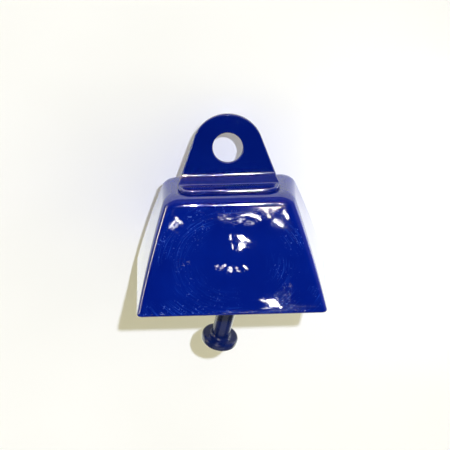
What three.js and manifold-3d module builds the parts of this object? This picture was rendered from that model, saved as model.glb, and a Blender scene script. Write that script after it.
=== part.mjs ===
// A small painted steel cowbell with a bent hanging lug, a wire staple, a loose link and a headed clapper.
// Millimetres, +Z up along the bell, +X to the right, -Y to the front.
// The origin is the centre of the lug's hole.
import * as THREE from "three";
import { mergeVertices } from "three/addons/utils/BufferGeometryUtils.js";
import Module from "manifold-3d";

const wasm = await Module();
wasm.setup();

// Bell shell: a drawn box that tapers from the mouth up to the crown
const mouthWidth = 60.8;
const mouthDepth = 40.4;
const crownWidth = 40.7; // where the sloping sides would meet the crown's plane
const crownDepth = 17.1;
const crownShift = 0.75; // the crown's middle, behind the mouth's
const bellHeight = 35.9;
const sideBow = 0.5; // how far the narrow sides bow out, half way up
const wall = 1;
const crownEdge = 2.8; // radius between the walls and the crown
const mouthCorner = 1.6; // radius of the upright edges at the mouth
const crownCorner = 3.6; // and at the crown
const cornerTuck = 0.6; // share of the crown's rounding that its corner radius loses

// Hanging lug: one strip of sheet bent up from the crown
const lugSheet = 1.5;
const lugFootFront = -5.85; // front edge of the foot
const lugBendStart = -1.35; // where the foot turns up
const lugBendRadius = 2.5; // inside of the bend
const lugLean = THREE.MathUtils.degToRad(14); // the tab leans to the back
const lugHoleHeight = 8.9; // along the tab, from the end of the bend
const lugHoleRadius = 4.75;
const lugTopRadius = 11.4;
const lugTopDrop = 0.35; // the round top's centre, below the hole's
const lugFlare = THREE.MathUtils.degToRad(19.5); // each side edge, from the tab's centre line
const lugFootWidth = 32.6;
const lugFootCorner = 4; // its round front corners, from side to side
const lugFootCornerDepth = 5; // and from front to back

// Staple, link and clapper
const stapleWire = 1.25; // radius
const stapleSpan = 21.2; // between the legs' centre lines
const stapleBend = 3;
const stapleBottom = 27.5; // height of the bottom wire's centre above the mouth
const weldSize = 1.1;
const weldGap = 0.15; // keeps each weld bead clear of its leg
const linkWire = 1.1; // radius
const linkWidth = 6.6; // between the centre lines of its two sides
const linkAbove = 2.5; // top of the link's centre line, above the staple's bottom wire
const linkBelow = 6.5; // bottom of the link's centre line, below it
const linkOffset = 6.25; // the link has slid this far to the right along the staple
const swingBack = THREE.MathUtils.degToRad(11.5); // link and clapper, leaning to the back
const swingLeft = THREE.MathUtils.degToRad(12.5); // clapper on its link, leaning to the left
const shankRadius = 3;
const shankChamfer = 0.8; // at the shank's upper end, under the eye
const shankRise = 0.6; // how far the shank reaches up into the eye's round
const clapperLength = 47.1; // from the link's bottom wire to the top of the head
const headRadius = 5.9;
const headThickness = 2.8;
const headRound = 1.1; // lower edge of the head
const headTopRound = 0.75; // upper edge
const neckFillet = 1;
const eyeThickness = 3;
const eyeRadius = 4.5;
const eyeHoleRadius = 2.6;
const eyeDrop = 1; // the hole's centre, below the wire that it hangs on
const eyeTail = 5; // how far the eye's plate runs down inside the shank
const eyeTailInset = 0.2; // of the tail's sides, from the shank's skin

const half = (size) => size / 2;
const crownInside = bellHeight - wall;

// The point of the lug's sheet that ends the bend, on the front face, and the hole's centre in mid-sheet
const tabFrontY = lugBendStart + lugBendRadius * Math.cos(lugLean);
const tabFrontZ =
  bellHeight + lugSheet + lugBendRadius * (1 - Math.sin(lugLean));
const holeY =
  tabFrontY +
  lugHoleHeight * Math.sin(lugLean) +
  half(lugSheet) * Math.cos(lugLean);
const holeZ =
  tabFrontZ +
  lugHoleHeight * Math.cos(lugLean) -
  half(lugSheet) * Math.sin(lugLean);

function paint(color, roughness = 0.18, metalness = 0.1) {
  return new THREE.MeshStandardMaterial({ color, roughness, metalness });
}

function piece(name, geometry, material) {
  const mesh = new THREE.Mesh(geometry, material);
  mesh.name = name;
  return mesh;
}

// Turns a closed geometry into a solid for cutting and joining.
function solid(geometry) {
  const bare = geometry.clone();
  bare.deleteAttribute("normal");
  bare.deleteAttribute("uv");
  const merged = mergeVertices(bare, 1e-4);
  const vertProperties = merged.attributes.position.array;
  const triVerts = new Uint32Array(merged.index.array);
  return new wasm.Manifold(
    new wasm.Mesh({ numProp: 3, vertProperties, triVerts }),
  );
}

function geometryOf(manifold) {
  const { vertProperties, triVerts } = manifold.getMesh();
  const geometry = new THREE.BufferGeometry();
  geometry.setAttribute(
    "position",
    new THREE.BufferAttribute(vertProperties, 3),
  );
  geometry.setIndex(new THREE.BufferAttribute(triVerts, 1));
  geometry.computeVertexNormals();
  return geometry;
}

// One level of the bell: a rectangle with rounded corners, always with the same number of points.
function roundedSection(halfWidth, halfDepth, middleY, radius, height) {
  const cornerSteps = 7;
  const centres = [
    [1, 1],
    [-1, 1],
    [-1, -1],
    [1, -1],
  ];
  return centres.flatMap(([sx, sy], quarter) =>
    Array.from({ length: cornerSteps + 1 }, (_, step) => {
      const angle = ((quarter + step / cornerSteps) * Math.PI) / 2;
      return new THREE.Vector3(
        sx * (halfWidth - radius) + radius * Math.cos(angle),
        middleY + sy * (halfDepth - radius) + radius * Math.sin(angle),
        height,
      );
    }),
  );
}

// Levels of one skin of the bell from the mouth up. The inner skin is the outer one moved in by inset.
function skinLevels(inset) {
  const top = bellHeight - inset;
  const edge = crownEdge - inset;
  const edgeSteps = 6;
  const wallSteps = 6;
  const heights = [
    ...Array.from(
      { length: wallSteps },
      (_, i) => (i / wallSteps) * (top - edge),
    ),
    ...Array.from(
      { length: edgeSteps + 1 },
      (_, i) => top - edge + edge * Math.sin((i / edgeSteps) * half(Math.PI)),
    ),
  ];
  return heights.map((height) => {
    const up = height / bellHeight;
    const over = Math.max(0, height - (top - edge));
    const pulledIn = inset + edge - Math.sqrt(Math.max(0, edge ** 2 - over ** 2));
    const corner =
      THREE.MathUtils.lerp(mouthCorner, crownCorner, up) -
      cornerTuck * pulledIn;
    const bow = sideBow * 4 * up * (1 - up);
    return roundedSection(
      half(THREE.MathUtils.lerp(mouthWidth, crownWidth, up)) + bow - pulledIn,
      half(THREE.MathUtils.lerp(mouthDepth, crownDepth, up)) - pulledIn,
      crownShift * up,
      corner,
      height,
    );
  });
}

// A closed skin over a run of equal rings, with a fan to the centre of the first ring and of the last.
function skinOver(rings) {
  const around = rings[0].length;
  const middle = (ring) => new THREE.Vector3(0, 0, ring[0].z);
  const points = [
    ...rings.flat(),
    middle(rings[0]),
    middle(rings[rings.length - 1]),
  ];
  const firstMiddle = points.length - 2;
  const lastMiddle = points.length - 1;
  const lastRing = (rings.length - 1) * around;
  const index = [];
  for (let i = 0; i < around; i++) {
    const next = (i + 1) % around;
    index.push(firstMiddle, i, next);
    index.push(lastMiddle, lastRing + next, lastRing + i);
    for (let level = 0; level < rings.length - 1; level++) {
      const below = level * around;
      const above = below + around;
      index.push(below + i, above + i, above + next);
      index.push(below + i, above + next, below + next);
    }
  }
  const geometry = new THREE.BufferGeometry().setFromPoints(points);
  geometry.setIndex(index);
  geometry.computeVertexNormals();
  return geometry;
}

// Down the outside from the crown to the mouth's rim, and back up the inside.
function bellShell() {
  const outside = skinLevels(0).reverse();
  const inside = skinLevels(wall);
  return piece("bell_shell", skinOver([...outside, ...inside]), paint(0x0a1a8c));
}

// The sheet seen from its edge: foot, bend and tab, as wide as the foot.
function bentStrip() {
  const centreZ = bellHeight + lugSheet + lugBendRadius;
  const tabLength = lugHoleHeight + lugTopRadius + lugSheet;
  const along = new THREE.Vector2(Math.sin(lugLean), Math.cos(lugLean));
  const bendEnd = (radius) =>
    new THREE.Vector2(
      lugBendStart + radius * Math.cos(lugLean),
      centreZ - radius * Math.sin(lugLean),
    );
  const inner = bendEnd(lugBendRadius).addScaledVector(along, tabLength);
  const outer = bendEnd(lugBendRadius + lugSheet).addScaledVector(
    along,
    tabLength,
  );
  const edge = new THREE.Shape();
  edge.moveTo(lugFootFront, bellHeight);
  edge.lineTo(lugBendStart, bellHeight);
  edge.absarc(
    lugBendStart,
    centreZ,
    lugBendRadius + lugSheet,
    -half(Math.PI),
    -lugLean,
    false,
  );
  edge.lineTo(outer.x, outer.y);
  edge.lineTo(inner.x, inner.y);
  edge.absarc(
    lugBendStart,
    centreZ,
    lugBendRadius,
    -lugLean,
    -half(Math.PI),
    true,
  );
  edge.lineTo(lugFootFront, bellHeight + lugSheet);
  const strip = new THREE.ExtrudeGeometry(edge, {
    depth: lugFootWidth,
    bevelEnabled: false,
    curveSegments: 10,
  });
  strip.translate(0, 0, -half(lugFootWidth));
  // The outline's first axis becomes Y, its second Z, and the strip's width runs along X.
  strip.applyMatrix4(
    new THREE.Matrix4().makeBasis(
      new THREE.Vector3(0, 1, 0),
      new THREE.Vector3(0, 0, 1),
      new THREE.Vector3(1, 0, 0),
    ),
  );
  return strip;
}

// The tab's outline as a block that cuts the strip from front to back, with the hole through it.
function tabBlock() {
  const reach = 30; // well past the strip, front, back and below
  const tangentX = lugTopRadius * Math.cos(lugFlare);
  const tangentZ = lugTopRadius * Math.sin(lugFlare) - lugTopDrop;
  const flareEndZ =
    tangentZ - (half(lugFootWidth) - tangentX) / Math.tan(lugFlare);
  const outline = new THREE.Shape();
  outline.moveTo(-half(lugFootWidth), -reach);
  outline.lineTo(half(lugFootWidth), -reach);
  outline.lineTo(half(lugFootWidth), flareEndZ);
  outline.lineTo(tangentX, tangentZ);
  outline.absarc(
    0,
    -lugTopDrop,
    lugTopRadius,
    lugFlare,
    Math.PI - lugFlare,
    false,
  );
  outline.lineTo(-half(lugFootWidth), flareEndZ);
  const hole = new THREE.Path();
  hole.absarc(0, 0, lugHoleRadius, 0, 2 * Math.PI, true);
  outline.holes.push(hole);
  const block = new THREE.ExtrudeGeometry(outline, {
    depth: 2 * reach,
    bevelEnabled: false,
    curveSegments: 22,
  });
  block.translate(0, 0, -reach);
  block.rotateX(half(Math.PI) - lugLean);
  block.translate(0, holeY, holeZ);
  return block;
}

// The foot's plan as an upright block: only its two front corners are rounded.
function footBlock() {
  const reach = 40; // past the lug's top and the crown
  const side = half(lugFootWidth);
  const plan = new THREE.Shape();
  plan.moveTo(side, reach);
  plan.lineTo(-side, reach);
  const cornerY = lugFootFront + lugFootCornerDepth;
  plan.lineTo(-side, cornerY);
  plan.absellipse(
    -side + lugFootCorner,
    cornerY,
    lugFootCorner,
    lugFootCornerDepth,
    Math.PI,
    1.5 * Math.PI,
    false,
  );
  plan.absellipse(
    side - lugFootCorner,
    cornerY,
    lugFootCorner,
    lugFootCornerDepth,
    1.5 * Math.PI,
    2 * Math.PI,
    false,
  );
  const block = new THREE.ExtrudeGeometry(plan, {
    depth: 2 * reach,
    bevelEnabled: false,
    curveSegments: 6,
  });
  return block;
}

function hangingLug() {
  const cut = solid(bentStrip())
    .intersect(solid(tabBlock()))
    .intersect(solid(footBlock()));
  return piece("hanging_lug", geometryOf(cut), paint(0x0a1a8c));
}

function tube(path, radius, sides, steps) {
  const section = new THREE.Shape();
  section.absarc(0, 0, radius, 0, 2 * Math.PI, false);
  return new THREE.ExtrudeGeometry(section, {
    steps,
    curveSegments: half(sides),
    bevelEnabled: false,
    extrudePath: path,
  });
}

// A flat-bottomed U of wire. Its legs end on the underside of the crown.
function clapperStaple() {
  const leg = half(stapleSpan);
  const path = new THREE.CurvePath();
  const at = (x, z) => new THREE.Vector3(x, 0, z);
  const straight = (from, to) => path.add(new THREE.LineCurve3(from, to));
  const bend = (from, corner, to) =>
    path.add(new THREE.QuadraticBezierCurve3(from, corner, to));
  const low = stapleBottom;
  straight(at(-leg, crownInside), at(-leg, low + stapleBend));
  bend(
    at(-leg, low + stapleBend),
    at(-leg, low),
    at(-leg + stapleBend, low),
  );
  straight(at(-leg + stapleBend, low), at(leg - stapleBend, low));
  bend(at(leg - stapleBend, low), at(leg, low), at(leg, low + stapleBend));
  straight(at(leg, low + stapleBend), at(leg, crownInside));
  return piece(
    "clapper_staple",
    tube(path, stapleWire, 12, 36),
    paint(0x0a1770, 0.3),
  );
}

// Points along an arc, for a profile that is turned on a lathe.
function arc(x, y, radius, from, to, steps) {
  return Array.from({ length: steps + 1 }, (_, i) => {
    const angle = THREE.MathUtils.lerp(from, to, i / steps);
    return new THREE.Vector2(
      x + radius * Math.cos(angle),
      y + radius * Math.sin(angle),
    );
  });
}

// A weld bead: a low ring around one leg of the staple, under the crown.
function stapleWeld(name, side) {
  const bore = stapleWire + weldGap;
  const inner = new THREE.Vector2(bore, 0);
  const round = arc(bore, 0, weldSize, -half(Math.PI), 0, 5);
  const bead = new THREE.LatheGeometry([inner, ...round, inner.clone()], 24);
  bead.rotateX(half(Math.PI));
  const mesh = piece(name, bead, paint(0x0a1770, 0.4));
  mesh.position.set(side * half(stapleSpan), 0, crownInside);
  return mesh;
}

// An oval link: a ring whose upper and lower halves are moved apart. Its middle is the staple's wire.
function clapperLink() {
  const bendRadius = half(linkWidth);
  const straight = linkAbove + linkBelow - 2 * bendRadius;
  const sections = 32;
  const ring = new THREE.TorusGeometry(bendRadius, linkWire, 12, sections);
  const position = ring.attributes.position;
  for (let i = 0; i < position.count; i++) {
    const section = i % (sections + 1); // the last section repeats the first
    const height = Math.sin((section / sections) * 2 * Math.PI);
    const side = Math.abs(height) < 1e-6 ? 0 : Math.sign(height);
    position.setY(i, position.getY(i) + side * half(straight));
  }
  ring.computeVertexNormals();
  // The ring's plane becomes YZ, with its length along Z.
  ring.rotateX(half(Math.PI));
  ring.rotateZ(half(Math.PI));
  ring.translate(0, 0, half(linkAbove - linkBelow));
  return piece("clapper_link", ring, paint(0x8a8d92, 0.35, 0.9));
}

// The clapper's round parts, from the shank's upper end down to the head, hanging from the origin.
function clapperRod() {
  const headTop = -clapperLength;
  const headBottom = headTop - headThickness;
  const shankTop = -eyeDrop - eyeRadius + shankRise;
  const profile = [
    new THREE.Vector2(0, headBottom),
    ...arc(
      headRadius - headRound,
      headBottom + headRound,
      headRound,
      -half(Math.PI),
      0,
      4,
    ),
    ...arc(
      headRadius - headTopRound,
      headTop - headTopRound,
      headTopRound,
      0,
      half(Math.PI),
      3,
    ),
    ...arc(
      shankRadius + neckFillet,
      headTop + neckFillet,
      neckFillet,
      1.5 * Math.PI,
      Math.PI,
      3,
    ),
    new THREE.Vector2(shankRadius, shankTop - shankChamfer),
    new THREE.Vector2(shankRadius - shankChamfer, shankTop),
    new THREE.Vector2(0, shankTop),
  ];
  const rod = new THREE.LatheGeometry(profile, 32);
  rod.rotateX(half(Math.PI));
  return rod;
}

// The flattened upper end: a plate that faces front and back, with a round top and the eye's hole.
function clapperEye() {
  const plate = new THREE.Shape();
  const tailEnd = -eyeDrop - eyeRadius - eyeTail;
  plate.moveTo(-shankRadius + eyeTailInset, tailEnd);
  plate.lineTo(shankRadius - eyeTailInset, tailEnd);
  plate.lineTo(eyeRadius, -eyeDrop);
  plate.absarc(0, -eyeDrop, eyeRadius, 0, Math.PI, false);
  const hole = new THREE.Path();
  hole.absarc(0, -eyeDrop, eyeHoleRadius, 0, 2 * Math.PI, true);
  plate.holes.push(hole);
  const eye = new THREE.ExtrudeGeometry(plate, {
    depth: eyeThickness,
    bevelEnabled: false,
    curveSegments: 12,
  });
  eye.translate(0, 0, -half(eyeThickness));
  eye.rotateX(half(Math.PI));
  return eye;
}

function clapper() {
  const joined = solid(clapperRod()).add(solid(clapperEye()));
  return piece("clapper", geometryOf(joined), paint(0x0a1668, 0.25));
}

// The link turns about the staple's bottom wire, and the clapper about the link's bottom wire.
function swingingParts() {
  const link = new THREE.Group();
  link.position.set(linkOffset, 0, stapleBottom);
  link.rotation.x = swingBack;
  link.add(clapperLink());
  const hung = new THREE.Group();
  hung.position.set(0, 0, -linkBelow);
  hung.rotation.y = swingLeft;
  hung.add(clapper());
  link.add(hung);
  return link;
}

const cowbell = new THREE.Group();
cowbell.position.set(0, -holeY, -holeZ);
cowbell.add(
  bellShell(),
  hangingLug(),
  clapperStaple(),
  stapleWeld("staple_weld_left", -1),
  stapleWeld("staple_weld_right", 1),
  swingingParts(),
);

export default cowbell;
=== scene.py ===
"""A small blue cowbell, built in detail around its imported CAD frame.

Shapes are worked out in millimetres from the middle of the mouth, with +Z up to the crown and -Y to the
front, and are moved into the row frame, in metres, as each mesh is made.
"""

import math
from functools import cache
from typing import NamedTuple

import bmesh
import bpy
from mathutils import Matrix, Vector, noise

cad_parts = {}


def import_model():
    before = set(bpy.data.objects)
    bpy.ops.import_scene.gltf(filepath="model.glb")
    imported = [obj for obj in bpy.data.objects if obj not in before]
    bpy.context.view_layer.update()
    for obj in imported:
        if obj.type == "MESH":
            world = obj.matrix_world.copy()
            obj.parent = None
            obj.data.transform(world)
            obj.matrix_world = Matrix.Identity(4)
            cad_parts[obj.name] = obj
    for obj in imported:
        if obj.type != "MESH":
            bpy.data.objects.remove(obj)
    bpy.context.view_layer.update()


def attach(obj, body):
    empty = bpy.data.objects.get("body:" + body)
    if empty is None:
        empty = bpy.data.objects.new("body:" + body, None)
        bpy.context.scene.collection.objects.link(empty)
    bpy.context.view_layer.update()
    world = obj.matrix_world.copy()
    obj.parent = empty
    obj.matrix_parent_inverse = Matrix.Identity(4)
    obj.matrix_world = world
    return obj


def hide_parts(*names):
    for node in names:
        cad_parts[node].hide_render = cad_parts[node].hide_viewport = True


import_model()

MM = 0.001

# Bell shell
MOUTH_WIDTH = 60.8
MOUTH_DEPTH = 40.4
CROWN_WIDTH = 40.7
CROWN_DEPTH = 17.1
CROWN_SHIFT = 0.75  # the crown's middle, behind the mouth's
BELL_HEIGHT = 35.9
SIDE_BOW = 0.5  # how far the narrow sides bow out, half way up
WALL = 1.0
CROWN_EDGE = 2.8  # rounding between the crown and the wall
MOUTH_CORNER = 1.6
CROWN_CORNER = 3.6
CORNER_TUCK = 0.6  # what a corner's radius loses for each millimetre inwards
CROWN_DOME = 0.12

# The shell's hand-worked shape
SWELL = 0.3  # how far the middle of each broad face swells
SWELL_MIDDLE = 16  # height of that middle
SWELL_REACH = 18  # how far above and below it the swelling runs
WAVE = 0.006  # the oval waves over the swelling
WAVE_MIDDLE = (1, 18)
WAVE_REACH = (17, 11)
WAVE_TURN = 9.5  # radians of wave from that middle out to the reach
WAVE_PEAK = 0.8  # where the waves are highest, as a share of the reach
WAVE_FALL = 1.3  # how fast they fade on both sides of it
LIP_SWELL = 0.07  # the paint's bead along the mouth's edge
LIP_LUMPS = 0.12
LIP_HEIGHT = 1.1  # how far up the bead runs
BROAD_UNEVENNESS = 0.016
FINE_UNEVENNESS = 0.0008

# Hanging lug
LUG_SHEET = 1.5
LUG_FOOT_FRONT = -5.85
LUG_BEND_START = -1.35
LUG_BEND_RADIUS = 2.5
LUG_LEAN = math.radians(14)
LUG_HOLE_HEIGHT = 8.9
LUG_HOLE_RADIUS = 4.75
LUG_TOP_RADIUS = 11.4
LUG_TOP_DROP = 0.35
LUG_FLARE = math.radians(19.5)
LUG_FOOT_WIDTH = 32.6
LUG_FOOT_CORNER = 4.0  # its round front corners, from side to side
LUG_FOOT_CORNER_DEPTH = 5.0  # and from front to back
LUG_CREASE = 0.12  # how softly the bend's inner facet meets the tab and the foot
LUG_FACET = 0.12  # how far the paint fills the bend, past a straight facet
LUG_EDGE = 0.45  # rounding of every edge

# Staple, link and clapper
STAPLE_WIRE = 1.25
STAPLE_SPAN = 21.2
STAPLE_BEND = 3.0
STAPLE_BOTTOM = 27.5
WELD_SIZE = 1.1
WELD_SPREAD = 0.2  # how much wider than tall a bead is
WELD_LUMPS = 0.22
LINK_WIRE = 1.1
LINK_WIDTH = 6.6
LINK_ABOVE = 2.5
LINK_BELOW = 6.5
LINK_OFFSET = 6.25
SWING_BACK = math.radians(11.5)
SWING_LEFT = math.radians(12.5)
SHANK_RADIUS = 3.0
SHANK_CHAMFER = 0.8
SHANK_RISE = 0.6  # how far the shank reaches up into the eye's round
BEATEN_LENGTH = 7.0  # of the shank, where it gets flat towards the eye
BEATEN_WIDTH = 1.12  # how many times as wide it gets there
BEATEN_THICKNESS = 0.48  # half its thickness there, as a share of the eye's
CLAPPER_LENGTH = 47.1
HEAD_RADIUS = 5.9
HEAD_THICKNESS = 2.8
HEAD_ROUND = 1.1
HEAD_TOP_ROUND = 0.75
NECK_FILLET = 1.0
EYE_THICKNESS = 3.0
EYE_RADIUS = 4.5
EYE_HOLE_RADIUS = 2.6
EYE_DROP = 1.0
EYE_TAIL = 5.0  # how far its plate runs on below the round, inside the shank
EYE_TAIL_INSET = 0.2
EYE_EDGE = 0.5  # bevel of its outline and its hole

# Where the row frame's origin, the centre of the lug's hole, lies in the bell
HOLE_Y = (
    LUG_BEND_START
    + (LUG_BEND_RADIUS + LUG_SHEET / 2) * math.cos(LUG_LEAN)
    + LUG_HOLE_HEIGHT * math.sin(LUG_LEAN)
)
HOLE_Z = (
    BELL_HEIGHT
    + LUG_SHEET
    + LUG_BEND_RADIUS
    - (LUG_BEND_RADIUS + LUG_SHEET / 2) * math.sin(LUG_LEAN)
    + LUG_HOLE_HEIGHT * math.cos(LUG_LEAN)
)

# Camera
VIEW_ELEVATION = math.radians(28)
VIEW_ROLL = math.radians(1.5)
VIEW_DISTANCE = 1500
FRAME_WIDTH = 144.9  # what the picture spans at the mouth
FRAME_SHIFT = (-2.0, 19.31)  # the picture's centre, from the mouth's centre
SENSOR_WIDTH = 36

# Paper behind the bell
PAPER_GAP = 28  # behind the mouth's centre
PAPER_LEAN = math.radians(15)
PAPER_SIZE = 3000
PAPER_SHADE = (0.9, 0.9, 0.89, 1)
PAPER_LIGHT = (0.94, 0.94, 0.94, 1)
NEAR_PAPER_SIZE = 300  # the part that the gloss paint mirrors
NEAR_PAPER_LIGHT = (0.93, 0.97, 0.97, 1)
NEAR_PAPER_GLOW = (0.5, 0.5, 0.36, 1)
BACKDROP_RADIUS = 3400

# Paints
BLUE = (0.0002, 0.0068, 0.155, 1)
CLEAR_BLUE = (0.0004, 0.0097, 0.188, 1)
RUBBED_BLUE = (0.012, 0.055, 0.4, 1)
# paler blue of the specks that are painted sparkle, standing in for tiny glints off the paint
PAINTED_SPARKLE_BLUE = (0.1, 0.2, 0.75, 1)
# painted shade for the lug
LUG_SHADE_BLUE = (0.0002, 0.004, 0.06, 1)
INSIDE_BLUE = (0.0012, 0.009, 0.12, 1)
INSIDE_DULL = (0.006, 0.018, 0.1, 1)
CLAPPER_BLUE = (0.001, 0.006, 0.05, 1)
CLAPPER_CLEAR = (0.002, 0.01, 0.085, 1)
STEEL = (0.42, 0.42, 0.43, 1)
TARNISH = (0.16, 0.15, 0.15, 1)

# Room and lamps
DARK = (0, 0, 0, 1)
ROOM_LIGHT = (1.3, 1.22, 0.8, 1)
ROOM_DIM = (0.008, 0.012, 0.022, 1)
ROOM_WALL = (0.22, 0.22, 0.2, 1)
KEY_STRENGTH = 2.92
KEY_COLOUR = (0.73, 0.775, 1.0)
KEY_ANGLE = math.radians(1.2)
KEY_RIGHT = 0.115  # its direction, to the right of the camera's
KEY_UP = 0.086  # and above it
BELL_MIDDLE = (0, 0, 17)
LAMP_ELEVATION = 33
LAMP_DISTANCE = 1500
LAMP_RADIANCE = 9000
LAMP_COLOUR = (1, 0.98, 0.94)
WINDOW_DISTANCE = 900
GLINT_DISTANCE = 700  # from the front to the small lamps that it mirrors
WHITE = (1, 0.99, 1)
TAN = (1, 0.92, 0.72)


def lerp(a, b, t):
    return a + (b - a) * t


def row(point):
    """A point of the bell, in the row frame."""
    x, y, z = point
    return Vector((x, y - HOLE_Y, z - HOLE_Z)) * MM


# Meshes


def ring_faces(rings, around, closed=False):
    """Quads between neighbouring rings of around points each."""
    faces = []
    for level in range(rings if closed else rings - 1):
        below = level * around
        above = (level + 1) % rings * around
        for i in range(around):
            j = (i + 1) % around
            faces.append((below + i, below + j, above + j, above + i))
    return faces


def piece(name, points, faces, materials):
    """A smooth-shaded mesh from points of the bell, with its faces turned outwards."""
    mesh = bpy.data.meshes.new(name)
    mesh.from_pydata([row(p) for p in points], [], faces)
    for material in materials:
        mesh.materials.append(material)
    shape = bmesh.new()
    shape.from_mesh(mesh)
    bmesh.ops.recalc_face_normals(shape, faces=shape.faces)
    for face in shape.faces:
        face.smooth = True
    shape.to_mesh(mesh)
    shape.free()
    obj = bpy.data.objects.new(name, mesh)
    bpy.context.scene.collection.objects.link(obj)
    return obj


def settle(obj, body, slot, *nodes):
    """obj rides on a body and stands for these CAD nodes. slot is not used."""
    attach(obj, body)
    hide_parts(*nodes)


def skin(rings):
    """Points and faces of a closed skin over rings, with a fan at each end."""
    around = len(rings[0])
    points = [p for ring in rings for p in ring]
    faces = ring_faces(len(rings), around)
    for ring, start, turn in (
        (rings[0], 0, -1),
        (rings[-1], len(points) - around, 1),
    ):
        middle = sum((Vector(p) for p in ring), Vector()) / around
        points.append(tuple(middle))
        centre = len(points) - 1
        for i in range(around):
            j = (i + 1) % around
            faces.append((centre, start + i, start + j)[::turn])
    return points, faces


def arc(x, y, radius, start, end, steps):
    """Points along an arc, its angles in degrees."""
    turns = [math.radians(lerp(start, end, i / steps)) for i in range(steps + 1)]
    return [(x + radius * math.cos(t), y + radius * math.sin(t)) for t in turns]


# Bell shell

WIDE_STEPS = 96
NARROW_STEPS = 52
CORNER_STEPS = 12


def section(half_width, half_depth, radius):
    """Points round a rounded rectangle, each with its outward direction."""
    found = []
    corners = ((1, 1), (-1, 1), (-1, -1), (1, -1))
    for quarter, (sx, sy) in enumerate(corners):
        x, y = sx * (half_width - radius), sy * (half_depth - radius)
        for step in range(CORNER_STEPS + 1):
            turn = (quarter + step / CORNER_STEPS) * math.pi / 2
            out = (math.cos(turn), math.sin(turn))
            found.append((x + radius * out[0], y + radius * out[1], *out))
        nx, ny = corners[(quarter + 1) % 4]
        ahead = (nx * (half_width - radius), ny * (half_depth - radius))
        steps = NARROW_STEPS if quarter % 2 else WIDE_STEPS
        for step in range(1, steps):
            along_x = lerp(x, ahead[0], step / steps) + radius * out[0]
            along_y = lerp(y, ahead[1], step / steps) + radius * out[1]
            found.append((along_x, along_y, *out))
    return found


def level(height, inset, pulled_in):
    """The shell's section at a height, moved in by inset and by the crown's rounding."""
    up = height / BELL_HEIGHT
    inward = inset + pulled_in
    corner = lerp(MOUTH_CORNER, CROWN_CORNER, up) - CORNER_TUCK * inward
    bow = SIDE_BOW * 4 * up * (1 - up)
    half_width = lerp(MOUTH_WIDTH, CROWN_WIDTH, up) / 2 + bow - inward
    half_depth = lerp(MOUTH_DEPTH, CROWN_DEPTH, up) / 2 - inward
    found = section(half_width, half_depth, corner)
    return [(x, y + CROWN_SHIFT * up, *out) for x, y, *out in found]


def pillow(x, z):
    """How far the broad faces swell outwards, with shallow oval waves round their middle."""
    reach = lerp(MOUTH_WIDTH, CROWN_WIDTH, z / BELL_HEIGHT) / 2
    across = max(0.0, 1 - (x / reach) ** 2)
    upright = max(0.0, 1 - ((z - SWELL_MIDDLE) / SWELL_REACH) ** 2)
    beside = (x - WAVE_MIDDLE[0]) / WAVE_REACH[0]
    above = (z - WAVE_MIDDLE[1]) / WAVE_REACH[1]
    oval = math.hypot(beside, above)
    fade = math.exp(-((oval - WAVE_PEAK) ** 2) * WAVE_FALL)
    wave = WAVE * math.cos(oval * WAVE_TURN) * fade
    return (SWELL + wave) * across * upright


def lip_swell(x, y, height):
    """The lumpy paint bead that thickens the mouth's edge."""
    lumps = noise.noise(Vector((x, y, 0)) * 0.55)
    return (LIP_SWELL + LIP_LUMPS * lumps) * math.exp(-((height / LIP_HEIGHT) ** 2))


def unevenness(x, y, z):
    """The hand-worked shell's gentle irregularity."""
    broad = noise.noise(Vector((x, y, z)) * 0.09)
    fine = noise.noise(Vector((x, y, z)) * 0.3 + Vector((7, 3, 5)))
    return BROAD_UNEVENNESS * broad + FINE_UNEVENNESS * fine


def front_point(x, z):
    """A point of the front face."""
    up = z / BELL_HEIGHT
    y = CROWN_SHIFT * up - lerp(MOUTH_DEPTH, CROWN_DEPTH, up) / 2
    return Vector((x, y - unevenness(x, y, z) - pillow(x, z), z))


def shell_ring(height, inset, pulled_in):
    """One ring of the shell, uneven and swollen where the wall is."""
    ring = []
    for x, y, out_x, out_y in level(height, inset, pulled_in):
        swell = unevenness(x, y, height)
        if abs(out_y) > 0.99:
            swell += pillow(x, height)
        if not inset:
            swell += lip_swell(x, y, height)
        fade = 1 - pulled_in / CROWN_EDGE
        ring.append((x + out_x * swell * fade, y + out_y * swell * fade, height))
    return ring


def crown_rings(height, inset, steps):
    """The slightly domed crown, from its middle out to where its rounding begins."""
    edge = CROWN_EDGE - inset
    rim = level(height, inset, edge)
    rings = []
    for i in range(1, steps):
        share = i / steps
        dome = CROWN_DOME * (1 - share**2)
        rings.append([(x * share, y * share, height + dome) for x, y, _, _ in rim])
    return rings


def skin_of_wall(inset, low, wall_steps, edge_steps):
    """Rings from the crown's middle down one side of the wall to the height low."""
    top = BELL_HEIGHT - inset
    edge = CROWN_EDGE - inset
    rings = crown_rings(top, inset, steps=10)
    for i in range(edge_steps, 0, -1):
        over = edge * math.sin(i / edge_steps * math.pi / 2)
        pulled_in = edge - math.sqrt(max(0.0, edge**2 - over**2))
        rings.append(shell_ring(top - edge + over, inset, pulled_in))
    for i in range(wall_steps, -1, -1):
        rings.append(shell_ring(lerp(low, top - edge, i / wall_steps), inset, 0))
    return rings


def rim_rings(steps):
    """The mouth's rounded lip, from the outside under to the inside."""
    half_wall = WALL / 2
    rings = []
    for i in range(1, steps):
        turn = math.pi * i / steps
        inset = half_wall - half_wall * math.cos(turn)
        rings.append(shell_ring(half_wall - half_wall * math.sin(turn), inset, 0))
    return rings


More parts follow.
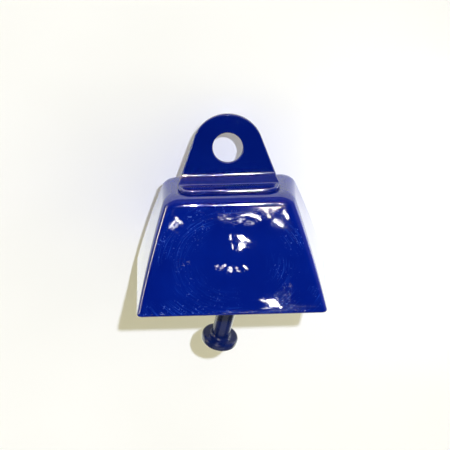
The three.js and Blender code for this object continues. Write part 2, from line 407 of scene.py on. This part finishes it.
def bell_shell():
    outside = skin_of_wall(0, low=WALL / 2, wall_steps=80, edge_steps=16)
    lip = rim_rings(steps=10)
    inside = skin_of_wall(WALL, low=WALL / 2, wall_steps=30, edge_steps=8)
    points, faces = skin(outside + lip + inside[::-1])
    shell = piece("bell_shell.painted", points, faces, [gloss_paint(), inside_paint()])
    around = len(outside[0])
    first_inside = (len(outside) + len(lip)) * around
    for face in shell.data.polygons:
        if min(face.vertices) >= first_inside - around:
            face.material_index = 1
    settle(shell, "bell", "blue_gloss_paint", "bell_shell")


# Hanging lug

FOOT_LENGTH = LUG_BEND_START - LUG_FOOT_FRONT
BEND_MIDDLE = LUG_BEND_RADIUS + LUG_SHEET / 2
BEND_TURN = math.pi / 2 - LUG_LEAN
BEND_LENGTH = BEND_MIDDLE * BEND_TURN
HOLE_ALONG = FOOT_LENGTH + BEND_LENGTH + LUG_HOLE_HEIGHT


def bent(across, along, height):
    """Where a point of the flat lug goes. along runs from the foot's front edge."""
    centre_z = BELL_HEIGHT + LUG_SHEET + LUG_BEND_RADIUS
    turn = min(max(0.0, along - FOOT_LENGTH) / BEND_MIDDLE, BEND_TURN)
    past = along - FOOT_LENGTH - turn * BEND_MIDDLE
    radius = BEND_MIDDLE - height
    y = LUG_BEND_START + radius * math.sin(turn) + past * math.cos(turn)
    z = centre_z - radius * math.cos(turn) + past * math.sin(turn)
    # On the front, paint fills the bend out to a nearly flat facet.
    middle = BEND_TURN / 2
    reach = LUG_BEND_RADIUS * math.cos(middle) - LUG_FACET
    outward = (y - LUG_BEND_START) * math.sin(middle) - (z - centre_z) * math.cos(middle)
    depth = outward - reach
    fill = (depth + math.hypot(depth, LUG_CREASE)) / 2 * max(0.0, 2 * height / LUG_SHEET)
    return (across, y - fill * math.sin(middle), z + fill * math.cos(middle))


def resampled(outline, count):
    """The same closed outline with count points at equal steps."""
    closed = [Vector(p) for p in outline] + [Vector(outline[0])]
    lengths = [0.0]
    for a, b in zip(closed, closed[1:]):
        lengths.append(lengths[-1] + (b - a).length)
    found = []
    part = 0
    for i in range(count):
        target = lengths[-1] * i / count
        while lengths[part + 1] < target:
            part += 1
        share = (target - lengths[part]) / (lengths[part + 1] - lengths[part])
        found.append(closed[part].lerp(closed[part + 1], share))
    return found


def lug_outline():
    """The lug cut flat: a straight foot edge with round corners, flared sides and a round top."""
    side = LUG_FOOT_WIDTH / 2
    corner = LUG_FOOT_CORNER
    flare = math.degrees(LUG_FLARE)
    depth = LUG_FOOT_CORNER_DEPTH
    quarter = arc(0, 0, 1, -90, 0, 16)
    right = [(side - corner + corner * c, depth + depth * s) for c, s in quarter]
    straight = LUG_TOP_RADIUS * math.sin(LUG_FLARE) - LUG_TOP_DROP + LUG_HOLE_HEIGHT
    bend_end = LUG_TOP_RADIUS * math.cos(LUG_FLARE) + straight * math.tan(LUG_FLARE)
    top = arc(0, HOLE_ALONG - LUG_TOP_DROP, LUG_TOP_RADIUS, flare, 180 - flare, 48)
    left = [(-x, y) for x, y in right[::-1]]
    after_bend = HOLE_ALONG - LUG_HOLE_HEIGHT
    return [*right, (bend_end, after_bend), *top, (-bend_end, after_bend), *left]


def moved_in(outline, distance):
    """A closed outline, each point moved to its left by distance."""
    found = []
    for i, point in enumerate(outline):
        ahead = outline[(i + 1) % len(outline)] - outline[i - 1]
        found.append(point + Vector((-ahead.y, ahead.x)).normalized() * distance)
    return found


def hanging_lug():
    outline = resampled(lug_outline(), 400)
    centre = Vector((0, HOLE_ALONG))
    spokes = [(p - centre).normalized() for p in outline]

    def hole(grown):
        return [centre + spoke * (LUG_HOLE_RADIUS + grown) for spoke in spokes]

    half = LUG_SHEET / 2
    near, far = hole(LUG_EDGE), moved_in(outline, LUG_EDGE)
    loops = []
    face_steps, round_steps = 110, 6
    for side in (1, -1):
        for share in [i / face_steps for i in range(face_steps + 1)][::side]:
            loops.append(([a.lerp(b, share) for a, b in zip(near, far)], side * half))
        for i in range(1, round_steps):
            turn = math.pi * i / round_steps
            inward = LUG_EDGE * (1 - math.sin(turn))
            loop = moved_in(outline, inward) if side > 0 else hole(inward)
            loops.append((loop, side * half * math.cos(turn)))
    points = [bent(p.x, p.y, height) for loop, height in loops for p in loop]
    faces = ring_faces(len(loops), len(outline), closed=True)
    lug = piece("hanging_lug.painted", points, faces, [gloss_paint()])
    settle(lug, "bell", "blue_gloss_paint", "hanging_lug")


# Staple and welds


def tube(path, radius, sides, closed=False):
    """Points and faces of a round wire along a path of Vectors."""
    rings = []
    side = None
    for i, point in enumerate(path):
        if closed:
            ahead = path[(i + 1) % len(path)] - path[i - 1]
        else:
            ahead = path[min(i + 1, len(path) - 1)] - path[max(i - 1, 0)]
        ahead.normalize()
        if side is None:
            side = ahead.orthogonal().normalized()
        side = (side - ahead * side.dot(ahead)).normalized()
        up = ahead.cross(side)
        turns = [2 * math.pi * k / sides for k in range(sides)]
        rings.append(
            [tuple(point + (side * math.cos(t) + up * math.sin(t)) * radius) for t in turns]
        )
    if not closed:
        return skin(rings)
    points = [p for ring in rings for p in ring]
    return points, ring_faces(len(rings), sides, closed=True)


def staple():
    leg = STAPLE_SPAN / 2
    low, bend = STAPLE_BOTTOM, STAPLE_BEND
    top = BELL_HEIGHT - WALL
    path = [(-leg, lerp(top, low + bend, i / 8)) for i in range(8)]
    path += arc(-leg + bend, low + bend, bend, 180, 270, 10)
    path += [(lerp(-leg + bend, leg - bend, i / 24), low) for i in range(1, 24)]
    path += arc(leg - bend, low + bend, bend, 270, 360, 10)
    path += [(leg, lerp(low + bend, top, i / 8)) for i in range(1, 9)]
    points, faces = tube([Vector((x, 0, z)) for x, z in path], STAPLE_WIRE, 24)
    settle(
        piece("clapper_staple.painted", points, faces, [inside_paint()]),
        "bell",
        "inside_paint",
        "clapper_staple",
    )


def weld_bead(node, side):
    """A lumpy collar of weld round the top of one leg."""
    levels, sides = 12, 48
    rings = []
    for i in range(levels + 1):
        turn = math.pi / 2 * i / levels
        ring = []
        for k in range(sides):
            angle = 2 * math.pi * k / sides
            out = Vector((math.cos(angle), math.sin(angle), 0))
            lump = 1 + WELD_LUMPS * noise.noise(out * 2.2 + Vector((side * 4, 0, i * 0.15)))
            radius = STAPLE_WIRE * 0.8 + (WELD_SIZE + WELD_SPREAD) * lump * math.sin(turn)
            drop = WELD_SIZE * lump * math.cos(turn)
            x = side * STAPLE_SPAN / 2 + out.x * radius
            ring.append((x, out.y * radius, BELL_HEIGHT - WALL - drop))
        rings.append(ring)
    points, faces = skin(rings)
    bead = piece(node + ".painted", points, faces, [inside_paint()])
    settle(bead, "bell", "inside_paint", node)


# Link and clapper


def link_frame():
    """The link's own space, its origin in the middle of the staple's bottom wire."""
    place = Matrix.Translation((LINK_OFFSET, 0, STAPLE_BOTTOM))
    return place @ Matrix.Rotation(SWING_BACK, 4, "X")


def clapper_frame():
    """The clapper's own space, its origin in the middle of the link's bottom wire."""
    drop = Matrix.Translation((0, 0, -LINK_BELOW))
    return link_frame() @ drop @ Matrix.Rotation(SWING_LEFT, 4, "Y")


def placed(points, matrix):
    return [tuple(matrix @ Vector(p)) for p in points]


def link():
    """An oval ring of wire that hangs across the staple."""
    bend = LINK_WIDTH / 2
    top, bottom = LINK_ABOVE - bend, -LINK_BELOW + bend
    line = arc(0, top, bend, 0, 180, 24)
    line += [(-bend, lerp(top, bottom, i / 6)) for i in range(1, 6)]
    line += arc(0, bottom, bend, 180, 360, 24)
    line += [(bend, lerp(bottom, top, i / 6)) for i in range(1, 6)]
    path = [Vector((0, y, z)) for y, z in line]
    points, faces = tube(path, LINK_WIRE, 20, closed=True)
    ring = piece("clapper_link.wire", placed(points, link_frame()), faces, [link_wire()])
    settle(ring, "link", "link_wire", "clapper_link")


def lathe(profile, sides):
    """Points and faces of a turned shape from (radius, height) pairs, top first, in its own frame."""
    turns = [2 * math.pi * k / sides for k in range(sides)]
    rings = [[(r * math.cos(t), r * math.sin(t), z) for t in turns] for r, z in profile]
    return skin(rings)


def clapper_profile():
    """The rod from its upper end down over the neck and the head."""
    top = -EYE_DROP - EYE_RADIUS + SHANK_RISE
    head_top = -CLAPPER_LENGTH
    head_bottom = head_top - HEAD_THICKNESS
    rod = [
        (SHANK_RADIUS, lerp(top - SHANK_CHAMFER, head_top + NECK_FILLET, i / 30))
        for i in range(31)
    ]
    neck = arc(
        SHANK_RADIUS + NECK_FILLET, head_top + NECK_FILLET, NECK_FILLET, 180, 270, 8
    )
    upper = arc(
        HEAD_RADIUS - HEAD_TOP_ROUND, head_top - HEAD_TOP_ROUND, HEAD_TOP_ROUND, 90, 0, 8
    )
    lower = arc(HEAD_RADIUS - HEAD_ROUND, head_bottom + HEAD_ROUND, HEAD_ROUND, 0, -90, 10)
    start = (SHANK_RADIUS - SHANK_CHAMFER, top)
    underside = (2.0, head_bottom)  # a ring on the flat, round the last point
    return [start, *rod, *neck[1:], *upper, *lower, underside]


def flattened(point):
    """The rod's upper end, beaten flat towards the eye."""
    x, y, z = point
    top = -EYE_DROP - EYE_RADIUS
    share = min(1.0, max(0.0, (z - top + BEATEN_LENGTH) / BEATEN_LENGTH))
    flat = share * share * (3 - 2 * share)
    thin = EYE_THICKNESS * BEATEN_THICKNESS / SHANK_RADIUS
    return (x * lerp(1, BEATEN_WIDTH, flat), y * lerp(1, thin, flat), z)


def clapper_eye():
    """The flattened upper end with its hole, as points and faces in the clapper's frame."""
    outline = arc(0, -EYE_DROP, EYE_RADIUS, 0, 180, 32)
    tail = -EYE_DROP - EYE_RADIUS - EYE_TAIL
    side = SHANK_RADIUS - EYE_TAIL_INSET
    outline += [(-side, tail), (side, tail)]
    outline = resampled(outline, 120)
    centre = Vector((0, -EYE_DROP))
    spokes = [(p - centre).normalized() for p in outline]
    hole = [centre + spoke * EYE_HOLE_RADIUS for spoke in spokes]
    hole_mouth = [centre + spoke * (EYE_HOLE_RADIUS + EYE_EDGE) for spoke in spokes]
    rim = moved_in(outline, EYE_EDGE)
    half = EYE_THICKNESS / 2
    low = half - EYE_EDGE
    loops = [
        (hole_mouth, half),
        (rim, half),
        (outline, low),
        (outline, -low),
        (rim, -half),
        (hole_mouth, -half),
        (hole, -low),
        (hole, low),
    ]
    points = [(p.x, height, p.y) for loop, height in loops for p in loop]
    return points, ring_faces(len(loops), len(outline), closed=True)


def clapper():
    points, faces = lathe(clapper_profile(), 72)
    points = placed([flattened(p) for p in points], clapper_frame())
    rod = piece("clapper.painted", points, faces, [clapper_paint()])
    settle(rod, "clapper", "clapper_paint", "clapper")
    points, faces = clapper_eye()
    points = placed(points, clapper_frame())
    eye = piece("clapper_eye.painted", points, faces, [clapper_paint()])
    settle(eye, "clapper", "clapper_paint", "clapper")


# Materials

OVAL_STRETCH = 1.35  # the swirl's ovals are this much wider than tall
SWIRL_ACROSS = 3000  # how fast the noise changes across the swirl, to the metre
SWIRL_ROUND = 2.5  # and round it, to the radian


class Graph:
    """Adds shader nodes to a node tree, each with its settings and inputs in one call."""

    def __init__(self, tree):
        self.tree = tree
        tree.nodes.clear()

    def add(self, kind, inputs=None, **settings):
        made = self.tree.nodes.new("ShaderNode" + kind)
        for key, value in settings.items():
            setattr(made, key, value)
        for key, value in (inputs or {}).items():
            socket = made.inputs[key]
            if isinstance(value, bpy.types.NodeSocket):
                self.tree.links.new(value, socket)
            else:
                socket.default_value = value
        return made

    def math(self, operation, a, b):
        return self.add("Math", {0: a, 1: b}, operation=operation).outputs[0]

    def noise(self, where, scale, detail=2.0, roughness=0.5):
        inputs = {
            "Vector": where,
            "Scale": scale,
            "Detail": detail,
            "Roughness": roughness,
        }
        return self.add("TexNoise", inputs).outputs["Fac"]

    def span(self, value, low, high, to_low=0.0, to_high=1.0):
        """value, rescaled from low..high to to_low..to_high and clamped."""
        inputs = {0: value, 1: low, 2: high, 3: to_low, 4: to_high}
        return self.add("MapRange", inputs).outputs[0]

    def mix(self, share, a, b):
        made = self.add("Mix", data_type="RGBA")
        for key, value in ((0, share), (6, a), (7, b)):
            if isinstance(value, bpy.types.NodeSocket):
                self.tree.links.new(value, made.inputs[key])
            else:
                made.inputs[key].default_value = value
        return made.outputs[2]

    def vector(self, operation, *values):
        inputs = dict(enumerate(values))
        return self.add("VectorMath", inputs, operation=operation).outputs["Vector"]

    def stretched(self, where, turn, scale):
        """Coordinates turned and stretched, for scratches that all run one way."""
        inputs = {"Vector": where, "Rotation": turn, "Scale": scale}
        return self.add("Mapping", inputs).outputs[0]


def material_graph(name):
    """A fresh material and its graph."""
    material = bpy.data.materials.new(name)
    material.use_nodes = True
    return material, Graph(material.node_tree)


def surface(graph, shader):
    graph.add("OutputMaterial", {"Surface": shader.outputs[0]})


def swirl(graph, where):
    """Noise drawn out in ovals round the front's middle, and each point's distance from there."""
    flatten = (1, 0, OVAL_STRETCH)
    to_middle = (-WAVE_MIDDLE[0] * MM, 0, (HOLE_Z - SWELL_MIDDLE) * MM * OVAL_STRETCH)
    flat = graph.vector("MULTIPLY_ADD", where, flatten, to_middle)
    reach = graph.add("VectorMath", {0: flat}, operation="LENGTH").outputs["Value"]
    rings = graph.add("CombineXYZ", {"Y": graph.math("MULTIPLY", reach, SWIRL_ACROSS)})
    round_it = graph.vector("NORMALIZE", flat)
    spun = graph.vector("MULTIPLY_ADD", round_it, (SWIRL_ROUND,) * 3, rings.outputs[0])
    return graph.noise(spun, 1.0, 3, 0.6), reach


def rubbed_patches(graph, where, normal, reach):
    """Where the paint is rubbed: in patches on the broad faces, away from their middles."""
    facing_y = graph.add("SeparateXYZ", {0: normal}).outputs["Y"]
    broad_face = graph.span(graph.math("ABSOLUTE", facing_y, 0), 0.7, 0.85)
    outskirts = graph.math("MULTIPLY", graph.span(reach, 9 * MM, 22 * MM), broad_face)
    patches = graph.span(graph.noise(where, 90, 2), 0.45, 0.62)
    return graph.math("MULTIPLY", patches, outskirts)


def gloss_colour(graph, where, patches, rubbed):
    """Ultramarine: paler where it is rubbed, with paler specks of painted sparkle, and darkened on the
    lug as painted shade.
    """
    depth = graph.span(graph.noise(where, 55, 3), 0.35, 0.65)
    blue = graph.mix(depth, BLUE, CLEAR_BLUE)
    worn = graph.mix(graph.math("MULTIPLY", rubbed, 0.8), blue, RUBBED_BLUE)
    # Painted sparkle: paler specks in the rubbed patches stand in for tiny glints off the paint.
    dots = graph.span(graph.noise(where, 1700, 1), 0.65, 0.74)
    painted_sparkle = graph.math("MULTIPLY", dots, patches)
    sparkled = graph.mix(graph.math("MULTIPLY", painted_sparkle, 0.5), worn, PAINTED_SPARKLE_BLUE)
    height = graph.add("SeparateXYZ", {0: where}).outputs["Z"]
    crown = (BELL_HEIGHT - HOLE_Z) * MM
    on_lug = graph.span(height, crown - 0.65 * MM, crown + 2.85 * MM)
    clean = graph.mix(on_lug, sparkled, blue)
    # Painted shade: the lug is mixed towards a darker blue, for the less light its tilted tab takes.
    return graph.mix(graph.math("MULTIPLY", on_lug, 0.4), clean, LUG_SHADE_BLUE)


@cache
def gloss_paint():
    """Thick gloss paint: orange peel, faint swirl marks, and grit where it is rubbed."""
    material, graph = material_graph("gloss_paint")
    place = graph.add("TexCoord")
    where = place.outputs["Object"]
    marks, reach = swirl(graph, where)
    patches = rubbed_patches(graph, where, place.outputs["Normal"], reach)
    rubbed = graph.math("MULTIPLY", graph.span(marks, 0.52, 0.68), patches)
    peel = graph.noise(where, 500, 1, 0.5)
    grit = graph.math("MULTIPLY", graph.span(graph.noise(where, 2400, 1), 0.6, 0.75), patches)
    relief = graph.math("ADD", peel, graph.math("MULTIPLY", grit, 2.0))
    bump = graph.add("Bump", {"Height": relief, "Strength": 1.0, "Distance": 0.0012 * MM})
    shader = graph.add(
        "BsdfPrincipled",
        {
            "Base Color": gloss_colour(graph, where, patches, rubbed),
            "Roughness": graph.math("ADD", graph.math("MULTIPLY", rubbed, 0.25), 0.3),
            "IOR": 1.45,
            "Specular IOR Level": 0.0,
            "Coat Weight": 1.0,
            "Coat Roughness": 0.015,
            "Coat IOR": 1.75,
            "Normal": bump.outputs[0],
            "Coat Normal": bump.outputs[0],
        },
    )
    surface(graph, shader)
    return material


@cache
def inside_paint():
    """The same paint inside the bell: thinner, duller and uneven."""
    material, graph = material_graph("inside_paint")
    where = graph.add("TexCoord").outputs["Object"]
    thin = graph.span(graph.noise(where, 130, 4), 0.4, 0.7)
    colour = graph.mix(thin, INSIDE_BLUE, INSIDE_DULL)
    grain = graph.noise(where, 900, 4)
    bump = graph.add("Bump", {"Height": grain, "Strength": 1.0, "Distance": 0.06 * MM})
    shader = graph.add(
        "BsdfPrincipled",
        {
            "Base Color": colour,
            "Roughness": graph.span(thin, 0, 1, 0.38, 0.6),
            "Coat Weight": 0.25,
            "Coat Roughness": 0.25,
            "Normal": bump.outputs[0],
        },
    )
    surface(graph, shader)
    return material


@cache
def clapper_paint():
    """Dark blue glossy paint over the steel rod, with a wavy skin and an uneven tone."""
    material, graph = material_graph("clapper_paint")
    where = graph.add("TexCoord").outputs["Object"]
    tone = graph.span(graph.noise(where, 160, 4), 0.35, 0.7)
    colour = graph.mix(tone, CLAPPER_BLUE, CLAPPER_CLEAR)
    peel = graph.noise(where, 750, 3)
    bump = graph.add("Bump", {"Height": peel, "Strength": 1.0, "Distance": 0.04 * MM})
    shader = graph.add(
        "BsdfPrincipled",
        {
            "Base Color": colour,
            "Roughness": graph.span(tone, 0, 1, 0.2, 0.32),
            "Specular IOR Level": 0.2,
            "Coat Weight": 0.75,
            "Coat Roughness": 0.06,
            "Normal": bump.outputs[0],
            "Coat Normal": bump.outputs[0],
        },
    )
    surface(graph, shader)
    return material


@cache
def link_wire():
    """Bare drawn wire with fine lengthwise lines and a little tarnish."""
    material, graph = material_graph("link_wire")
    where = graph.add("TexCoord").outputs["Object"]
    tarnish = graph.span(graph.noise(where, 300, 4), 0.4, 0.7)
    colour = graph.mix(tarnish, STEEL, TARNISH)
    lines = graph.noise(graph.stretched(where, (0.2, 0, 0), (4000, 4000, 300)), 1.0, 2)
    bump = graph.add("Bump", {"Height": lines, "Strength": 1.0, "Distance": 0.02 * MM})
    shader = graph.add(
        "BsdfPrincipled",
        {
            "Base Color": colour,
            "Metallic": 1.0,
            "Roughness": graph.span(tarnish, 0, 1, 0.3, 0.55),
            "Normal": bump.outputs[0],
        },
    )
    surface(graph, shader)
    return material


def paper_material(name, light, glow):
    """Pale paper that is seen from its front only. Its glow leaves out the part behind the bell."""
    material, graph = material_graph(name)
    where = graph.add("TexCoord").outputs["Object"]
    tone = graph.span(graph.noise(where, 12, 2), 0.3, 0.7)
    colour = graph.mix(tone, PAPER_SHADE, light)
    white = graph.add("BsdfDiffuse", {"Color": colour})
    flat = graph.add("SeparateXYZ", {0: where}).outputs
    beside = graph.span(graph.math("ABSOLUTE", flat["X"], 0), 24 * MM, 30 * MM)
    above = graph.span(graph.math("ABSOLUTE", flat["Y"], 0), 34 * MM, 44 * MM)
    outside = graph.math("MAXIMUM", beside, above)
    lamp = graph.add("Emission", {"Color": glow, "Strength": outside})
    lit = graph.add("AddShader", {0: white.outputs[0], 1: lamp.outputs[0]})
    clear = graph.add("BsdfTransparent")
    back = graph.add("NewGeometry").outputs["Backfacing"]
    shader = graph.add("MixShader", {0: back, 1: lit.outputs[0], 2: clear.outputs[0]})
    surface(graph, shader)
    return material


def backdrop_material():
    """An even pale grey, whatever the light."""
    material, graph = material_graph("backdrop")
    glow = graph.add("Emission", {"Color": (0.8, 0.8, 0.79, 1)})
    surface(graph, glow)
    return material


# Stage, light and camera

PAPER_NORMAL = Vector((0, -math.cos(PAPER_LEAN), -math.sin(PAPER_LEAN)))


def view_axes():
    """The camera's right, up and backward directions."""
    back = Vector((0, -math.cos(VIEW_ELEVATION), math.sin(VIEW_ELEVATION)))
    right = Vector((1, 0, 0))
    up = back.cross(right)
    turn = Matrix.Rotation(VIEW_ROLL, 3, back)
    return turn.inverted() @ right, turn.inverted() @ up, back


def facing(obj, place, normal):
    """Puts obj at a point of the bell, its own +Z along normal."""
    obj.location = row(place)
    obj.rotation_mode = "QUATERNION"
    obj.rotation_quaternion = Vector(normal).to_track_quat("Z", "Y")


def stage_mesh(name, build, material):
    mesh = bpy.data.meshes.new(name)
    shape = bmesh.new()
    build(shape)
    shape.to_mesh(mesh)
    shape.free()
    mesh.materials.append(material)
    obj = bpy.data.objects.new(name, mesh)
    bpy.context.scene.collection.objects.link(obj)
    return obj


def paper_sheet(name, size, material, mirrored):
    """A sheet in the paper's plane, seen either as a mirror image only or in every other way."""
    half = size / 2 * MM
    sheet = stage_mesh(
        name,
        lambda shape: bmesh.ops.create_grid(shape, x_segments=2, y_segments=2, size=half),
        material,
    )
    facing(sheet, (0, PAPER_GAP, 0), PAPER_NORMAL)
    sheet.visible_shadow = False
    sheet.visible_glossy = mirrored
    sheet.visible_camera = not mirrored
    sheet.visible_diffuse = not mirrored


def paper():
    """The sheet behind the bell, and the near part of it that the gloss paint mirrors."""
    white = paper_material("paper", PAPER_LIGHT, DARK)
    near = paper_material("near_paper", NEAR_PAPER_LIGHT, NEAR_PAPER_GLOW)
    paper_sheet("paper", PAPER_SIZE, white, mirrored=False)
    paper_sheet("near_paper", NEAR_PAPER_SIZE, near, mirrored=True)


def backdrop():
    """A pale surround for views from behind, seen by the camera alone."""
    dome = stage_mesh(
        "backdrop",
        lambda shape: bmesh.ops.create_icosphere(
            shape, subdivisions=4, radius=BACKDROP_RADIUS * MM
        ),
        backdrop_material(),
    )
    dome.visible_diffuse = False
    dome.visible_glossy = False
    dome.visible_transmission = False
    dome.visible_shadow = False


def world():
    """Warm light from every side but the one the paper faces. The gloss paint mirrors a dim room."""
    made = bpy.data.worlds.new("room")
    made.use_nodes = True
    graph = Graph(made.node_tree)
    where = graph.add("TexCoord").outputs["Generated"]
    along = graph.add(
        "VectorMath", {0: where, 1: PAPER_NORMAL}, operation="DOT_PRODUCT"
    ).outputs["Value"]
    lit = graph.mix(graph.span(along, 0.58, 0.8, 1.0, 0.02), DARK, ROOM_LIGHT)
    mirrored = graph.mix(graph.span(along, 0.1, 0.6, 1.0, 0.0), ROOM_DIM, ROOM_WALL)
    glossy = graph.add("LightPath").outputs["Is Glossy Ray"]
    glow = graph.add("Background", {"Color": graph.mix(glossy, lit, mirrored)})
    graph.add("OutputWorld", {"Surface": glow.outputs[0]})
    bpy.context.scene.world = made


def key_light():
    """The lamp: cool, small and a little to the upper right of the camera."""
    right, up, back = view_axes()
    toward = back + KEY_RIGHT * right + KEY_UP * up
    lamp = bpy.data.lights.new("key", "SUN")
    lamp.energy = KEY_STRENGTH
    lamp.color = KEY_COLOUR
    lamp.angle = KEY_ANGLE
    obj = bpy.data.objects.new("key", lamp)
    bpy.context.scene.collection.objects.link(obj)
    facing(obj, (0, 0, 0), toward)
    obj.visible_glossy = False


def softbox(name, place, size, radiance, colour=(1, 1, 1), aim=BELL_MIDDLE):
    """A rectangular light at a point of the bell's space, turned to a point of the bell."""
    lamp = bpy.data.lights.new(name, "AREA")
    lamp.shape = "RECTANGLE"
    lamp.size, lamp.size_y = size[0] * MM, size[1] * MM
    lamp.energy = radiance * math.pi * lamp.size * lamp.size_y
    lamp.color = colour
    obj = bpy.data.objects.new(name, lamp)
    bpy.context.scene.collection.objects.link(obj)
    facing(obj, place, Vector(place) - Vector(aim))
    obj.visible_camera = False
    return obj


def around(azimuth, elevation, distance):
    """A point at that distance from the bell's mouth: azimuth 0 is the front and 90 the right."""
    a, e = math.radians(azimuth), math.radians(elevation)
    flat = math.cos(e)
    return Vector((math.sin(a) * flat, -math.cos(a) * flat, math.sin(e))) * distance


class Stroke(NamedTuple):
    """A bright stroke on the front: both ends as x, z, and then how thick and how bright it is."""

    start: tuple
    end: tuple
    thickness: float
    radiance: float
    colour: tuple = WHITE


# What the front mirrors of the room, from the camera's side
STROKES = (
    # A short slant at the upper left
    Stroke((-18.9, 27.2), (-17.0, 29.2), 0.4, 60),
    Stroke((-17.0, 29.3), (-16.2, 30.0), 0.5, 60),
    # The end of an arc at the upper right
    Stroke((17.0, 31.7), (18.9, 29.4), 0.5, 60),
    # A broad arc above the middle, and fainter strokes under it
    Stroke((3.6, 30.5), (6.5, 30.6), 0.3, 50),
    Stroke((6.6, 30.5), (8.8, 30.0), 0.5, 60),
    Stroke((8.9, 29.8), (10.0, 28.9), 0.3, 50),
    Stroke((2.6, 29.1), (4.7, 29.0), 0.2, 18),
    Stroke((5.2, 28.5), (7.8, 27.8), 0.2, 14),
    # Flecks to the arc's left
    Stroke((-1.9, 31.0), (-1.8, 30.2), 0.2, 34),
    Stroke((-0.9, 29.6), (0.5, 29.3), 0.3, 30),
    Stroke((-3.0, 30.2), (-2.4, 29.2), 0.2, 20),
    # The patch in the middle, with a narrow mark on each side
    Stroke((2.7, 23.7), (4.7, 23.8), 1.7, 70),
    Stroke((0.2, 24.8), (0.3, 23.3), 0.25, 36),
    Stroke((5.2, 22.9), (6.6, 22.4), 0.15, 14),
    # A row of spots below the middle
    Stroke((-4.8, 15.4), (-4.4, 14.6), 0.3, 34),
    Stroke((-3.2, 14.9), (-3.0, 14.5), 0.3, 26),
    Stroke((-2.1, 15.5), (-1.6, 15.3), 0.3, 34),
    Stroke((-0.7, 14.8), (0.3, 14.4), 0.5, 50),
    Stroke((1.8, 14.6), (2.2, 14.4), 0.3, 30),
    Stroke((4.4, 14.7), (5.1, 14.5), 0.5, 50),
    # The patch by the lip, and its thin tail
    Stroke((11.2, 4.0), (14.2, 3.8), 1.2, 80),
    Stroke((9.2, 4.5), (10.6, 4.2), 0.3, 40),
    # Two flecks above it
    Stroke((16.7, 8.1), (17.0, 8.0), 0.2, 24),
    Stroke((18.4, 8.7), (18.7, 8.6), 0.2, 24),
    # A scratch on the left
    Stroke((-13.6, 16.1), (-13.1, 17.2), 0.1, 10),
    # A pale band under the crown
    Stroke((8.0, 32.9), (17.0, 32.7), 0.4, 24, TAN),
)


def mirrored_place(x, z):
    """Where a lamp must be for the front to mirror it to the camera at x, z."""
    spot = front_point(x, z)
    across = front_point(x + 1, z) - front_point(x - 1, z)
    upward = front_point(x, z + 1) - front_point(x, z - 1)
    normal = across.cross(upward).normalized()
    sight = (camera_place() - spot).normalized()
    return spot + (2 * normal.dot(sight) * normal - sight) * GLINT_DISTANCE


def glint(stroke):
    """A small lamp that shows as a stroke on the front, seen from the camera."""
    start, end = Vector(stroke.start), Vector(stroke.end)
    middle = (start + end) / 2
    beside = (end - start).orthogonal().normalized() * stroke.thickness / 2
    along = mirrored_place(*end) - mirrored_place(*start)
    across = mirrored_place(*(middle + beside)) - mirrored_place(*(middle - beside))
    place = mirrored_place(*middle)
    spot = front_point(*middle)
    size = (along.length, across.length)
    lamp = softbox("glint", place, size, stroke.radiance, stroke.colour, aim=spot)
    away = (place - spot).normalized()
    sideways = (along - along.dot(away) * away).normalized()
    axes = Matrix((sideways, away.cross(sideways), away)).transposed()
    lamp.rotation_quaternion = axes.to_quaternion()
    return lamp


def gloss_lights():
    """Lights that only show as reflections: lamps over the camera, windows and glints."""
    lamps = (
        ("lamp_bar", 0.44, (19, 16)),
        ("lamp_left", -1.0, (6, 16)),
        ("lamp_right", 0.96, (5, 14)),
    )
    boxes = []
    for name, azimuth, size in lamps:
        place = around(azimuth, LAMP_ELEVATION, LAMP_DISTANCE)
        boxes.append(softbox(name, place, size, LAMP_RADIANCE, LAMP_COLOUR))
    left = around(-74, 14, WINDOW_DISTANCE)
    right = around(112, 35, WINDOW_DISTANCE)
    low = around(0, -50, WINDOW_DISTANCE)
    boxes += [
        softbox("left_strip", left, (26, 420), 60, (1, 0.88, 0.6)),
        softbox("right_window", right, (300, 220), 0.9),
        softbox("low_window", low, (1300, 420), 0.6),
    ]
    boxes += [glint(stroke) for stroke in STROKES]
    for box in boxes:
        box.visible_diffuse = False


def side_light():
    """Brightens the paper that the bell's right side mirrors."""
    box = softbox("side", (90, 6, 15), (40, 40), 9, aim=(42, 26, 10))
    box.visible_glossy = False


def back_light():
    """Light for the bell's back, which the paper's front doesn't see."""
    softbox("back", around(204, 8, 1400), (800, 800), 5)
    window = softbox("back_window", around(190, 55, 1100), (500, 260), 1.6)
    window.visible_diffuse = False


def camera_place():
    """Where the camera stands, in the bell's space."""
    right, up, back = view_axes()
    return back * VIEW_DISTANCE + right * FRAME_SHIFT[0] + up * FRAME_SHIFT[1]


def camera():
    right, up, back = view_axes()
    lens = bpy.data.cameras.new("camera")
    lens.sensor_width = SENSOR_WIDTH
    lens.lens = SENSOR_WIDTH * VIEW_DISTANCE / FRAME_WIDTH
    lens.clip_start = 0.01
    lens.clip_end = 20
    obj = bpy.data.objects.new("camera", lens)
    bpy.context.scene.collection.objects.link(obj)
    turn = Matrix((right, up, back)).transposed().to_4x4()
    obj.matrix_world = Matrix.Translation(row(camera_place())) @ turn
    bpy.context.scene.camera = obj


bell_shell()
hanging_lug()
staple()
weld_bead("staple_weld_left", -1)
weld_bead("staple_weld_right", 1)
link()
clapper()

paper()
backdrop()
world()
key_light()
gloss_lights()
side_light()
back_light()
camera()
bpy.context.scene.view_settings.view_transform = "Standard"
